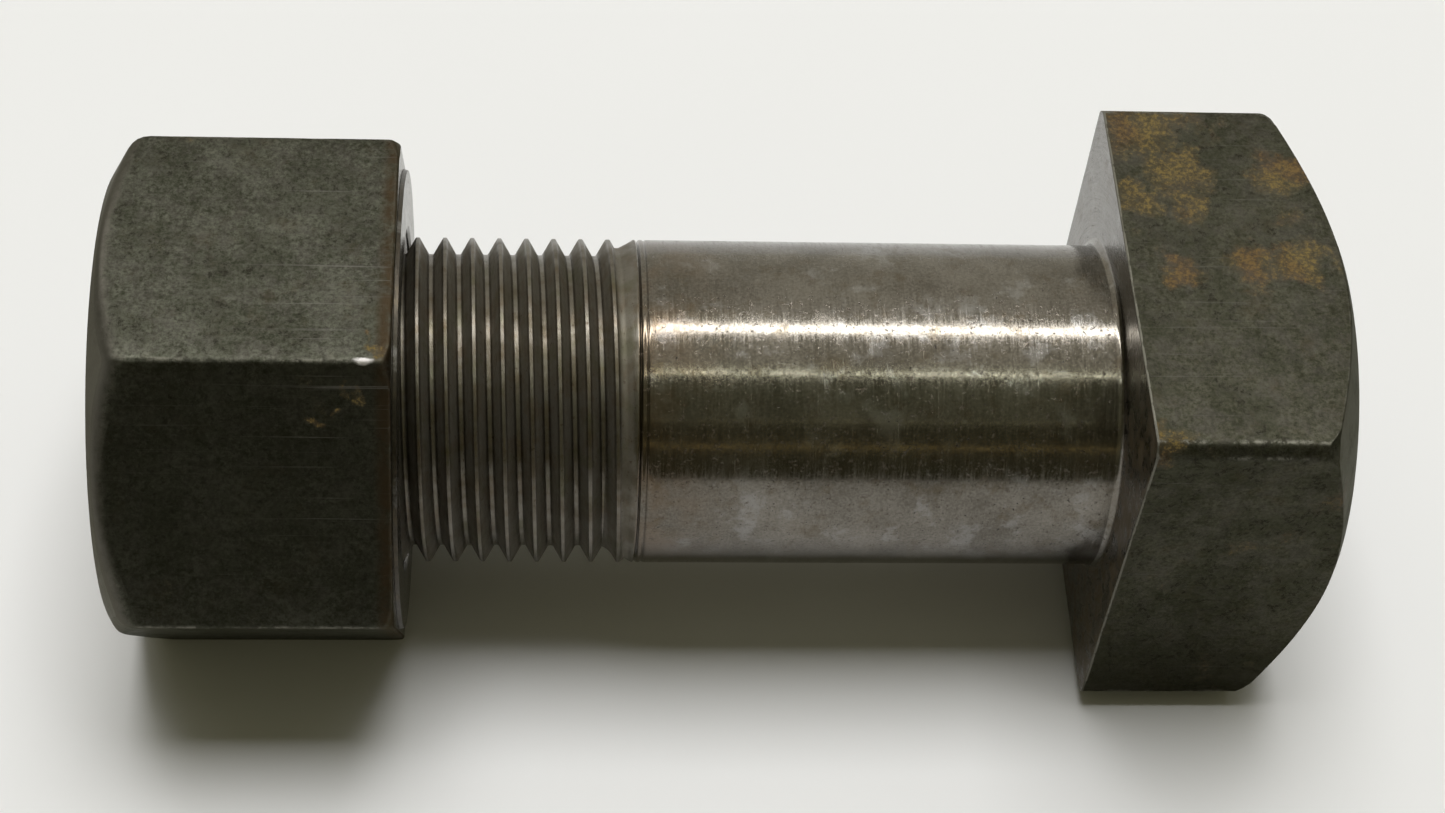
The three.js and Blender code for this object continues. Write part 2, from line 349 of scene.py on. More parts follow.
def thread_rows(profile, angle, low_x, high_x):
    """(row number, x, radius) of each of the thread's rows that crosses this angle."""
    start_x = HELIX_X + THREAD_PITCH * angle / (2 * math.pi)
    first = math.floor((low_x - start_x) / THREAD_PITCH - 1)
    last = math.ceil((high_x - start_x) / THREAD_PITCH + 1)
    rows = []
    for turn in range(first, last + 1):
        for i, (along, radius) in enumerate(profile):
            x = start_x + THREAD_PITCH * turn + along
            if low_x < x < high_x:
                rows.append((turn * len(profile) + i, x, radius))
    return rows


def prism_radius(angle, flats, sharpness):
    """Distance from the axis to a prism's side. flats lists each side's (direction, distance)."""
    total = 0.0
    for direction, distance in flats:
        facing = math.cos(angle - direction)
        if facing > PRISM_LEAST_FACING:
            total += math.exp(-sharpness * distance / facing)
    return -math.log(total) / sharpness


def column_angles(edge_angles):
    """Angles round the axis, even apart from extra ones beside each edge."""
    extra = []
    for edge in edge_angles:
        for offset in EDGE_OFFSETS:
            extra += [edge - math.radians(offset), edge + math.radians(offset)]
    extra = sorted({round(angle % (2 * math.pi), 6) for angle in extra})
    gap = math.radians(SMALLEST_GAP)
    even = [2 * math.pi * (i + 0.5) / COLUMNS for i in range(COLUMNS)]
    kept = [a for a in even if all(abs(a - b) > gap for b in extra)]
    return sorted(extra + kept)


# ---------------------------------------------------------------- skins


def named_rows(name, line, finish):
    """Rows for a line of (x, radius, wear), keyed by the line's name and their number in it."""
    return [
        Row((name, i), x, radius, wear, finish) for i, (x, radius, wear) in enumerate(line)
    ]


def join_columns(left, right, first_left, first_right, closed):
    """Faces between two neighbouring columns, along every pair of keys that both have."""
    places = {key: i for i, key in enumerate(right)}
    common = [(i, places[key]) for i, key in enumerate(left) if key in places]
    faces = []
    for (i0, j0), (i1, j1) in zip(common, common[1:]):
        ring = [first_left + i0]
        ring += [first_right + j for j in range(j0, j1 + 1)]
        ring += [first_left + i for i in range(i1, i0, -1)]
        faces.append((ring, i0))
    if closed:
        last_left = first_left + len(left) - 1
        last_right = first_right + len(right) - 1
        faces.append(([last_left, last_right, first_right, first_left], len(left) - 1))
    return faces


def shifted(keys, rows_per_pitch):
    """The first column's keys as the last column sees them, one turn of the thread on."""
    return [
        (name, number - rows_per_pitch) if name == "thread" else (name, number)
        for name, number in keys
    ]


def skin_faces(columns, rows_per_pitch, closed):
    """The faces over all the columns' points, and the name of each face's finish."""
    starts = [0]
    for column in columns[:-1]:
        starts.append(starts[-1] + len(column))
    faces = []
    face_finishes = []
    for i, column in enumerate(columns):
        after = (i + 1) % len(columns)
        keys = [row.key for row in column]
        next_keys = [row.key for row in columns[after]]
        if after == 0:
            next_keys = shifted(next_keys, rows_per_pitch)
        for ring, number in join_columns(keys, next_keys, starts[i], starts[after], closed):
            faces.append(ring)
            face_finishes.append(column[number].finish)
    if not closed:
        ends = [start + len(column) - 1 for start, column in zip(starts, columns)]
        faces += [starts[::-1], ends]
        face_finishes += [columns[0][0].finish, columns[0][-1].finish]
    return faces, face_finishes


def skin(name, angles, column_at, rows_per_pitch, materials, closed):
    """One closed mesh from a column of points at each angle.

    column_at(angle) lists the rows in order along the surface. Where the columns don't close
    on themselves, the first and last rings are capped. materials has one for each finish.
    """
    columns = [column_at(angle) for angle in angles]
    points = [
        on_surface(row.x, row.radius, angle)
        for angle, column in zip(angles, columns)
        for row in column
    ]
    wears = [row.wear for column in columns for row in column]
    faces, face_finishes = skin_faces(columns, rows_per_pitch, closed)
    finishes = list(materials)
    mesh = bpy.data.meshes.new(name)
    mesh.from_pydata([point * MM for point in points], [], faces)
    for material in materials.values():
        mesh.materials.append(material)
    numbers = [finishes.index(finish) for finish in face_finishes]
    mesh.polygons.foreach_set("material_index", numbers)
    mesh.polygons.foreach_set("use_smooth", [True] * len(faces))
    attribute = mesh.attributes.new("wear", "FLOAT", "POINT")
    attribute.data.foreach_set("value", wears)
    mesh.validate()
    return linked_object(name, mesh)


def linked_object(name, data):
    """A new object in the scene."""
    piece = bpy.data.objects.new(name, data)
    bpy.context.scene.collection.objects.link(piece)
    return piece


def knocked(x, radius, angle, wear):
    """The radius less the small knocks that wear has left at this place."""
    place = on_surface(x, radius, angle)
    depth = sum(share * noise.noise(place * frequency) for frequency, share in KNOCKS)
    return radius - wear * max(0.0, depth)


def edge_wear(angle, edges, radius):
    """1 on a prism's edge, falling to 0 beside it."""
    nearest = min(abs(math.remainder(angle - edge, 2 * math.pi)) for edge in edges)
    return max(0.0, 1 - nearest * radius / EDGE_WEAR_WIDTH)


# ---------------------------------------------------------------- bolt

BOLT_RIDGE = ridge_profile(
    SHANK_RADIUS, ROOT_RADIUS, CREST_FLAT, CREST_ROUNDING, ROOT_ROUNDING
)
HEAD_FLATS = [(math.radians(90 * i), HEAD_HALF_WIDTH) for i in range(4)]
HEAD_FLATS += [(math.radians(45 + 90 * i), HEAD_CORNER_DISTANCE) for i in range(4)]
HEAD_CORNER_HALF_ANGLE = math.acos(HEAD_HALF_WIDTH / HEAD_CORNER_DISTANCE)
HEAD_EDGES = [
    math.radians(90 * i) + side * HEAD_CORNER_HALF_ANGLE for i in range(4) for side in (-1, 1)
]


def end_line():
    """The thread's flat end and the start of its chamfer."""
    return rounded_line(
        [
            (BOLT_END_X, CAP_RADIUS),
            (BOLT_END_X, END_RADIUS),
            (BOLT_END_X + END_BEVEL, END_RADIUS + END_BEVEL),
        ],
        [END_ROUNDING],
        END_POINTS,
    )


def bolt_thread(angle):
    """The thread, cut off by the end's chamfer and rising to the shank at the run-out."""
    low_x = BOLT_END_X + END_BEVEL + END_ROW_GAP
    rows = []
    for number, x, radius in thread_rows(BOLT_RIDGE, angle, low_x, RUN_OUT_END_X - ROW_GAP):
        run_out = SHANK_RADIUS - (RUN_OUT_END_X - x) * RUN_OUT_SLOPE
        chamfer = END_RADIUS + x - BOLT_END_X
        radius = min(max(radius, run_out), chamfer)
        rows.append(Row(("thread", number), x, radius, 0.0, "thread"))
    return rows


def tool_ring(x):
    """Depth of the tool's rings at this place."""
    depth = 0.0
    for ring_x, ring_depth in TOOL_RINGS:
        depth = max(depth, ring_depth * (1 - abs(x - ring_x) / TOOL_RING_HALF_WIDTH))
    return depth


def shank_line():
    """The plain shank, with points close together across the tool's rings."""
    places = [RUN_OUT_END_X]
    for ring_x, _ in TOOL_RINGS:
        places += [ring_x + share * TOOL_RING_HALF_WIDTH for share in TOOL_RING_ROWS]
    start = places[-1]
    end = UNDERHEAD_X - UNDERHEAD_FILLET
    places += [start + (end - start) * i / SHANK_ROWS for i in range(1, SHANK_ROWS + 1)]
    return [(x, SHANK_RADIUS - tool_ring(x), 0.0) for x in places]


def fillet_line():
    """The quarter circle from the shank out to the head's underside."""
    turns = [math.radians(90 * i / FILLET_STEPS) for i in range(1, FILLET_STEPS + 1)]
    return [
        (
            UNDERHEAD_X - UNDERHEAD_FILLET * (1 - math.sin(turn)),
            SHANK_RADIUS + UNDERHEAD_FILLET * (1 - math.cos(turn)),
            0.0,
        )
        for turn in turns
    ]


def head_line(angle, side, start_radius):
    """The head's underside, side, bevel and end, where its side is this far from the axis."""
    by_far_corner = max(0.0, 1 - abs(angle - FAR_CORNER_ANGLE) / FAR_CORNER_REACH)
    corner_radius = CORNER_BEVEL_RADIUS + FAR_CORNER_EXTRA_RADIUS * by_far_corner
    bevel_radius = min(corner_radius, side - HEAD_SMALLEST_BEVEL)
    bevel_x = HEAD_END_X - (bevel_radius - HEAD_END_RADIUS) * HEAD_CHAMFER_SLOPE
    bevelled = side > CORNER_BEVEL_RADIUS + HEAD_SMALLEST_BEVEL
    slope = CORNER_BEVEL_SLOPE if bevelled else HEAD_CHAMFER_SLOPE
    rounding = HEAD_EDGE_ROUNDING + FAR_CORNER_ROUNDING * by_far_corner
    return rounded_line(
        [
            (UNDERHEAD_X, start_radius),
            (UNDERHEAD_X, side),
            (bevel_x - (side - bevel_radius) * slope, side),
            (bevel_x, bevel_radius),
            (HEAD_END_X, HEAD_END_RADIUS),
            (HEAD_END_X, CAP_RADIUS),
        ],
        [UNDERHEAD_ROUNDING, rounding, rounding, HEAD_EDGE_ROUNDING],
        HEAD_POINTS,
    )


def bolt_head(angle, start_radius):
    """The head, with its wear. The fillet's last point stands in for its own first one."""
    side = prism_radius(angle, HEAD_FLATS, HEAD_SHARPNESS)
    corner_wear = edge_wear(angle, HEAD_EDGES, side)
    rows = []
    for i, (x, radius, wear) in enumerate(head_line(angle, side, start_radius)[1:], start=1):
        finish = "face" if i <= UNDERHEAD_ROWS else "scale"
        by_underside = x < UNDERHEAD_X + UNDERHEAD_WEAR_DEPTH
        rim_wear = wear if by_underside else HEAD_RIM_WEAR * wear
        on_side = i > UNDERHEAD_ROWS and radius > side - TOUCHING
        wear = max(rim_wear, corner_wear) if on_side else rim_wear
        radius = knocked(x, radius, angle, wear)
        if by_underside:
            wear = max(wear, UNDERHEAD_WEAR * rim_wear)
        rows.append(Row(("head", i), x, radius, wear, finish))
    return rows


def bolt_column(angle):
    """The bolt's rows at an angle, from the thread's end to the head's."""
    fillet = named_rows("fillet", fillet_line(), "turned")
    column = named_rows("end", end_line(), "turned")
    column += bolt_thread(angle)
    column += named_rows("shank", shank_line(), "turned")
    column += fillet
    column += bolt_head(angle, fillet[-1].radius)
    return column


def make_bolt(materials):
    angles = column_angles(HEAD_EDGES)
    return skin("bolt_body", angles, bolt_column, len(BOLT_RIDGE), materials, closed=False)


# ---------------------------------------------------------------- nut

NUT_RIDGE = ridge_profile(
    NUT_GROOVE_RADIUS, NUT_RIDGE_RADIUS, NUT_GROOVE_FLAT, NUT_GROOVE_ROUNDING, NUT_RIDGE_ROUNDING
)
NUT_FLATS = [(math.radians(30 + 60 * i), NUT_HALF_WIDTH) for i in range(6)]
NUT_EDGES = [math.radians(60 * i) for i in range(6)]


def nut_line(side):
    """The nut's outer face, chamfers, side and inner face, where its side is this far out."""
    outer_x = NUT_OUTER_X + (side - NUT_OUTER_FACE_RADIUS) * NUT_CHAMFER_SLOPE
    inner_face = min(NUT_INNER_FACE_RADIUS, side - NUT_SMALLEST_BEVEL)
    inner_x = NUT_INNER_X - (side - inner_face) * NUT_CHAMFER_SLOPE
    return rounded_line(
        [
            (NUT_OUTER_X, NUT_MOUTH_RADIUS),
            (NUT_OUTER_X, NUT_OUTER_FACE_RADIUS),
            (outer_x, side),
            (inner_x, side),
            (NUT_INNER_X, inner_face),
            (NUT_INNER_X, NUT_MOUTH_RADIUS),
        ],
        NUT_EDGE_ROUNDINGS,
        NUT_POINTS,
    )


def nut_column(angle):
    """The nut's rows at an angle, over its outside and back along its thread."""
    side = prism_radius(angle, NUT_FLATS, NUT_SHARPNESS)
    corner_wear = edge_wear(angle, NUT_EDGES, side)
    column = []
    for i, (x, radius, wear) in enumerate(nut_line(side)):
        wear = NUT_RIM_WEAR * wear
        if radius > side - TOUCHING:
            wear = max(wear, corner_wear)
        radius = knocked(x, radius, angle, wear)
        on_outer_face = x < NUT_OUTER_X + TOUCHING
        on_inner_face = x > NUT_INNER_X - TOUCHING
        finish = "face" if on_outer_face or on_inner_face else "scale"
        column.append(Row(("outside", i), x, radius, wear, finish))
    rows = thread_rows(NUT_RIDGE, angle, NUT_OUTER_X + ROW_GAP, NUT_INNER_X - ROW_GAP)
    for number, x, radius in reversed(rows):
        sunk = NUT_MOUTH_RADIUS - min(x - NUT_OUTER_X, NUT_INNER_X - x)
        column.append(Row(("thread", number), x, max(radius, sunk), 0.0, "thread"))
    return column


def make_nut(materials):
    angles = column_angles(NUT_EDGES)
    return skin("nut_body", angles, nut_column, len(NUT_RIDGE), materials, closed=True)


def ring_column(_):
    """The washer face's rows, which are the same at every angle."""
    line = rounded_line(
        [
            (RING_START_X, RING_BORE_RADIUS),
            (RING_START_X, RING_RADIUS),
            (RING_END_X, RING_RADIUS - RING_RIM_BEVEL),
            (RING_END_X, RING_BORE_RADIUS + RING_BORE_BEVEL),
            (RING_START_X + RING_BORE_BEVEL, RING_BORE_RADIUS),
        ],
        RING_EDGE_ROUNDINGS,
        RING_POINTS,
        support=RING_SUPPORT,
    )
    column = []
    for i, (x, radius, _) in enumerate(line):
        # The outer wall gets the darker finish, a painted shade
        finish = "wall" if radius > RING_RADIUS - RING_WALL_DEPTH else "face"
        column.append(Row(("ring", i), x, radius, 0.0, finish))
    return column


def make_ring(materials):
    return skin("nut_bearing_ring", column_angles([]), ring_column, 0, materials, closed=True)


# ---------------------------------------------------------------- finishes


class Finish:
    """A material's node tree, with short calls for the nodes that the finishes share.

    place, x and radius are the point's own, in millimetres. Masks are 0 to 1. Noise scales are
    in features to a millimetre, roughly.
    """

    def __init__(self, name):
        self.material = bpy.data.materials.new(name)
        self.material.use_nodes = True
        self.nodes = self.material.node_tree.nodes
        self.links = self.material.node_tree.links
        self.shader = self.nodes["Principled BSDF"]
        place = self.nodes.new("ShaderNodeTexCoord").outputs["Object"]
        self.place = self.stretched(place, (1 / MM, 1 / MM, 1 / MM))
        parts = self.nodes.new("ShaderNodeSeparateXYZ")
        self.links.new(self.place, parts.inputs[0])
        self.x = parts.outputs[0]
        self.radius = self.vector("LENGTH", self.stretched(self.place, (0, 1, 1)))

    def feed(self, socket, value):
        """Links a node's result to a socket, or sets the socket to a constant."""
        if isinstance(value, bpy.types.NodeSocket):
            self.links.new(value, socket)
        else:
            socket.default_value = value

    def vector(self, operation, *values):
        """A vector operation's result: a number for a length, distance or dot product."""
        node = self.nodes.new("ShaderNodeVectorMath")
        node.operation = operation
        for socket, value in zip(node.inputs, values):
            self.feed(socket, value)
        number = operation in ("LENGTH", "DISTANCE", "DOT_PRODUCT")
        return node.outputs["Value" if number else "Vector"]

    def stretched(self, vector, scale):
        return self.vector("MULTIPLY", vector, scale)

    def maths(self, operation, a, b=0.0, c=0.0, clamp=False):
        node = self.nodes.new("ShaderNodeMath")
        node.operation = operation
        node.use_clamp = clamp
        for socket, value in zip(node.inputs, (a, b, c)):
            self.feed(socket, value)
        return node.outputs[0]

    def times(self, a, b):
        return self.maths("MULTIPLY", a, b)

    def opposite(self, mask):
        return self.maths("SUBTRACT", 1.0, mask)

    def shared(self, parts):
        """The sum of several values, each times its share. parts lists (value, share)."""
        total = 0.0
        for value, share in parts:
            total = self.maths("MULTIPLY_ADD", value, share, total)
        return total

    def noise_node(self, vector, scale, detail, roughness=0.5):
        node = self.nodes.new("ShaderNodeTexNoise")
        self.links.new(vector, node.inputs["Vector"])
        node.inputs["Scale"].default_value = scale
        node.inputs["Detail"].default_value = detail
        node.inputs["Roughness"].default_value = roughness
        return node

    def noise(self, scale, detail, roughness):
        return self.noise_node(self.place, scale, detail, roughness).outputs["Fac"]

    def ramp(self, value, low, high):
        """0 below low and 1 above high, with a smooth step between."""
        node = self.nodes.new("ShaderNodeMapRange")
        node.interpolation_type = "SMOOTHSTEP"
        self.feed(node.inputs["Value"], value)
        node.inputs["From Min"].default_value = low
        node.inputs["From Max"].default_value = high
        return node.outputs["Result"]

    def patches(self, scale, detail, roughness, low, high):
        """1 where a noise is above high and 0 where it is below low."""
        return self.ramp(self.noise(scale, detail, roughness), low, high)

    def between(self, value, low, high):
        """low where value is 0 and high where it is 1."""
        node = self.nodes.new("ShaderNodeMapRange")
        self.feed(node.inputs["Value"], value)
        node.inputs["To Min"].default_value = low
        node.inputs["To Max"].default_value = high
        return node.outputs["Result"]

    def blend(self, factor, a, b):
        """The colour a where factor is 0 and b where it is 1."""
        node = self.nodes.new("ShaderNodeMix")
        node.data_type = "RGBA"
        self.feed(node.inputs["Factor"], factor)
        self.feed(node.inputs["A"], a if not isinstance(a, tuple) else (*a, 1))
        self.feed(node.inputs["B"], b if not isinstance(b, tuple) else (*b, 1))
        return node.outputs["Result"]

    def layered(self, colour, layers):
        """A colour under several others. layers lists (mask, strength, colour), lowest first."""
        for mask, strength, tint in layers:
            colour = self.blend(self.times(mask, strength), colour, tint)
        return colour

    def attribute(self, name):
        node = self.nodes.new("ShaderNodeAttribute")
        node.attribute_name = name
        return node.outputs["Fac"]

    def along(self, direction):
        """How far the place lies along a direction, in millimetres."""
        return self.vector("DOT_PRODUCT", self.place, direction)

    def inside(self, place, centre, radius):
        """1 at the centre of a ball, falling to 0 at its surface."""
        distance = self.vector("DISTANCE", place, centre)
        return self.opposite(self.maths("DIVIDE", distance, radius))

    def wandering(self, scale, reach):
        """The place moved about by noise, up to half of reach in millimetres."""
        drift = self.noise_node(self.place, scale, 4.0).outputs["Color"]
        moved = self.vector("MULTIPLY_ADD", drift, (reach, reach, reach), self.place)
        return self.vector("SUBTRACT", moved, (reach / 2, reach / 2, reach / 2))

    def tool_lines(self, scale):
        """Lines that run round the axis: along a cylinder they vary with x, on a face with r."""
        node = self.nodes.new("ShaderNodeCombineXYZ")
        self.links.new(self.maths("ADD", self.x, self.radius), node.inputs[0])
        slow = self.stretched(self.place, (0, 0.05, 0.05))
        place = self.vector("ADD", node.outputs[0], slow)
        return self.noise_node(place, scale, 4.0, 0.7).outputs["Fac"]

    def scratches(self):
        """Fine scratches along the bolt's axis."""
        place = self.stretched(self.place, (0.03, 2.6, 2.6))
        return self.ramp(self.noise_node(place, 1.0, 3.0, 0.6).outputs["Fac"], 0.62, 0.7)

    def relief(self, height, depth):
        """Bumps the surface by height, which is 0 to 1, times depth in millimetres."""
        node = self.nodes.new("ShaderNodeBump")
        node.inputs["Strength"].default_value = 1.0
        node.inputs["Distance"].default_value = depth * MM
        self.links.new(height, node.inputs["Height"])
        self.links.new(node.outputs["Normal"], self.shader.inputs["Normal"])

    def finish(self, colour, metal, roughness):
        self.feed(self.shader.inputs["Base Color"], colour)
        self.feed(self.shader.inputs["Metallic"], metal)
        self.feed(self.shader.inputs["Roughness"], roughness)
        return self.material


def run_out_marks(steel, clouds):
    """Where the tool's rings beside the run-out hold dirt, and where that end is stained."""
    past_thread = steel.ramp(steel.x, RUN_OUT_END_X - 0.1, RUN_OUT_END_X)
    fading = steel.opposite(steel.ramp(steel.x, RUN_OUT_END_X + 1, RUN_OUT_END_X + 13))
    near = steel.times(past_thread, fading)
    sunk = steel.opposite(steel.ramp(steel.radius, SHANK_RADIUS - 0.2, SHANK_RADIUS - 0.02))
    stained = steel.ramp(clouds, 0.35, 0.6)
    return steel.times(near, sunk), steel.times(near, stained)


def seat_rust(steel):
    """Brown rust on the lower near part of the head's underside."""
    by_head = steel.ramp(steel.x, UNDERHEAD_X - 1.7, UNDERHEAD_X - 1.1)
    off_shank = steel.ramp(steel.radius, SHANK_RADIUS + 0.15, SHANK_RADIUS + 0.75)
    lower = steel.opposite(steel.ramp(steel.along(UPPER_FAR), -4.0, 10.0))
    patches = steel.patches(0.4, 5.0, 0.7, 0.36, 0.6)
    return steel.times(steel.times(steel.times(by_head, off_shank), lower), patches)


def turned_steel(name, dark, light, bare_roughness):
    """Bright turned steel with tool lines, cloudy stains, brown specks and pits.

    bare_roughness is (lowest, highest), as the tool lines vary it.
    """
    steel = Finish(name)
    lines = steel.shared([(steel.tool_lines(2.0), 0.4), (steel.tool_lines(5.5), 0.6)])
    clouds = steel.noise(0.14, 5.0, 0.62)
    grain = steel.noise(3.0, 3.0, 0.7)
    shade = steel.shared([(clouds, 0.4), (grain, 0.4), (lines, 0.2)])
    haze = steel.patches(0.2, 6.0, 0.7, 0.53, 0.66)
    stain = steel.patches(0.33, 6.0, 0.75, 0.5, 0.68)
    specks = steel.patches(1.4, 4.0, 0.75, 0.58, 0.68)
    pits = steel.patches(2.4, 2.0, 0.5, 0.69, 0.74)
    dirt, run_out_stain = run_out_marks(steel, clouds)
    rust = seat_rust(steel)
    colour = steel.layered(
        steel.blend(steel.ramp(shade, 0.35, 0.65), dark, light),
        [
            (haze, 0.45, HAZE_GREY),
            (stain, 0.55, STAIN_BROWN),
            (run_out_stain, 0.5, RUN_OUT_BROWN),
            (specks, 0.5, SPECK_BROWN),
            (pits, 0.8, PIT_BROWN),
            (dirt, 0.85, RING_DIRT),
            (rust, 0.7, SEAT_RUST),
        ],
    )
    bare = steel.between(steel.ramp(lines, 0.34, 0.7), *bare_roughness)
    roughness = steel.shared([(bare, 1.0), (stain, 0.05), (haze, 0.03), (rust, 0.2)])
    marks = steel.maths("MAXIMUM", pits, specks)
    steel.relief(steel.maths("SUBTRACT", lines, marks), TURNED_RELIEF)
    metal = steel.between(steel.maths("MAXIMUM", marks, rust), 1.0, 0.6)
    return steel.finish(colour, metal, roughness)


def thread_steel():
    """Cut thread: brighter crests and roots, and duller flanks with brown and green stains."""
    steel = Finish("thread_steel")
    dirt = steel.patches(0.3, 5.0, 0.65, 0.35, 0.75)
    above_root = steel.ramp(steel.radius, ROOT_RADIUS + 0.15, ROOT_RADIUS + 0.5)
    at_crest = steel.ramp(steel.radius, SHANK_RADIUS - 0.5, SHANK_RADIUS - 0.1)
    flank = steel.times(above_root, steel.opposite(at_crest))
    brown = steel.patches(0.4, 5.0, 0.7, 0.48, 0.64)
    green = steel.patches(0.25, 4.0, 0.7, 0.5, 0.66)
    specks = steel.patches(1.9, 3.0, 0.6, 0.62, 0.72)
    colour = steel.layered(
        steel.blend(dirt, THREAD_CLEAN, THREAD_DIRTY),
        [
            (flank, 0.5, FLANK_GREY),
            (brown, 0.4, THREAD_BROWN),
            (green, 0.4, THREAD_GREEN),
            (specks, 0.7, THREAD_SPECK),
        ],
    )
    roughness = steel.shared([(steel.between(dirt, 0.32, 0.46), 1.0), (flank, 0.2)])
    grain = steel.noise(2.4, 3.0, 0.6)
    steel.relief(steel.shared([(grain, 1.0), (specks, -0.5)]), THREAD_RELIEF)
    return steel.finish(colour, steel.between(flank, 0.97, 0.8), roughness)


def rust_cover(steel, mottle, blooms, stray_rust):
    """How thick the rust is, and its colour: a thin brown film with gold speckles."""
    place = steel.wandering(0.3, 9.0)
    bloom = 0.0
    for *centre, radius in blooms:
        bloom = steel.maths("MAXIMUM", bloom, steel.inside(place, centre, radius))
    stray = steel.patches(0.1, 3.0, 0.6, 0.56, 0.78)
    bloom = steel.maths("MULTIPLY_ADD", stray, stray_rust, bloom)
    film = steel.ramp(steel.maths("MULTIPLY_ADD", mottle, 0.8, bloom), 0.42, 1.1)
    film = steel.times(film, steel.ramp(bloom, 0.0, 0.3))
    speckle = steel.noise(1.8, 5.0, 0.8)
    speckles = steel.ramp(steel.maths("MULTIPLY_ADD", bloom, 0.16, speckle), 0.54, 0.72)
    reddish = steel.patches(0.13, 2.0, 0.5, 0.45, 0.62)
    film_colour = steel.blend(reddish, RUST_FILM_BROWN, RUST_FILM_RED)
    speckle_colour = steel.blend(reddish, RUST_GOLD, RUST_ORANGE)
    rust = steel.times(film, steel.between(speckles, 0.45, 0.95))
    return rust, steel.blend(speckles, film_colour, speckle_colour)


def head_marks(steel, colour):
    """Fine scratches, and painted shade that darkens the sides towards the lowest edges."""
    ragged_height = steel.maths(
        "MULTIPLY_ADD", steel.noise(0.12, 5.0, 0.7), 12.0, steel.along(UP)
    )
    # Painted shade, darker towards the bottom
    painted_low_shade = steel.opposite(steel.ramp(ragged_height, -21.0, 6.0))
    return steel.layered(
        colour, [(steel.scratches(), 0.3, HEAD_SCRATCH), (painted_low_shade, 0.55, LOW_SIDE_PAINTED_SHADE)]
    )


def outer_chamfer(steel):
    """1 on the nut's outer chamfer, fading out over the edge between it and the sides."""
    cone_x = steel.maths("MULTIPLY_ADD", steel.radius, NUT_CHAMFER_SLOPE, CHAMFER_APEX_X)
    past = steel.maths("SUBTRACT", steel.x, cone_x)
    ragged = steel.maths("MULTIPLY_ADD", steel.noise(0.8, 4.0, 0.7), -1.4, past)
    return steel.opposite(steel.ramp(ragged, -0.7, 0.7))


def nut_marks(steel, colour):
    """Painted shade on the near side, painted light on the chamfer, and stain and scratches by the
    bearing face.
    """
    # Painted shade: 1 on the near side's flat
    near_side_shade = steel.ramp(steel.along(NEAR_SIDE), NUT_HALF_WIDTH - 0.1, NUT_HALF_WIDTH - 0.02)
    by_bearing = steel.ramp(steel.x, NUT_INNER_X - 2.2, NUT_INNER_X - 0.8)
    stained = steel.between(steel.patches(0.35, 5.0, 0.7, 0.36, 0.56), 0.3, 0.85)
    towards_bearing = steel.ramp(steel.x, NUT_INNER_X - 16, NUT_INNER_X - 4)
    scratched = steel.between(towards_bearing, 0.15, 0.7)
    return steel.layered(
        colour,
        [
            (near_side_shade, 0.5, NEAR_SIDE_PAINTED_SHADE),
            # Painted light on the outer chamfer
            (outer_chamfer(steel), 0.75, CHAMFER_PAINTED_LIGHT),
            (by_bearing, stained, BEARING_END_BROWN),
            (steel.scratches(), scratched, NUT_SCRATCH),
        ],
    )


def rubbed_spot(steel):
    """A small streak along the nut's edge that has been rubbed bright."""
    shrink = 2 * RUBBED_RADIUS / RUBBED_LENGTH
    place = steel.stretched(steel.wandering(0.9, 1.0), (shrink, 1, 1))
    x, y, z = RUBBED_SPOT
    return steel.ramp(steel.inside(place, (x * shrink, y, z), RUBBED_RADIUS), 0.0, 0.5)


def scale_colour(steel, dark, light, mottle, grain):
    """Dark to light mottling with warm grey and brown patches."""
    clouds = steel.noise(0.11, 4.0, 0.6)
    shade = steel.shared([(clouds, 0.2), (mottle, 0.4), (grain, 0.4)])
    warm = steel.patches(0.5, 5.0, 0.75, 0.42, 0.6)
    brown = steel.patches(0.23, 6.0, 0.75, 0.52, 0.7)
    return steel.layered(
        steel.blend(steel.ramp(shade, 0.38, 0.62), dark, light),
        [(warm, 0.35, WARM_GREY), (brown, 0.35, SCALE_BROWN)],
    )


def edge_marks(steel):
    """Where edges are worn to paler metal, and where they still carry dull scale."""
    chips = steel.patches(0.3, 6.0, 0.75, 0.44, 0.6)
    edge = steel.attribute("wear")
    worn = steel.ramp(steel.times(edge, steel.between(chips, 0.05, 1.0)), 0.05, 1.0)
    return worn, steel.times(steel.maths("MINIMUM", edge, 1.0), steel.opposite(worn))


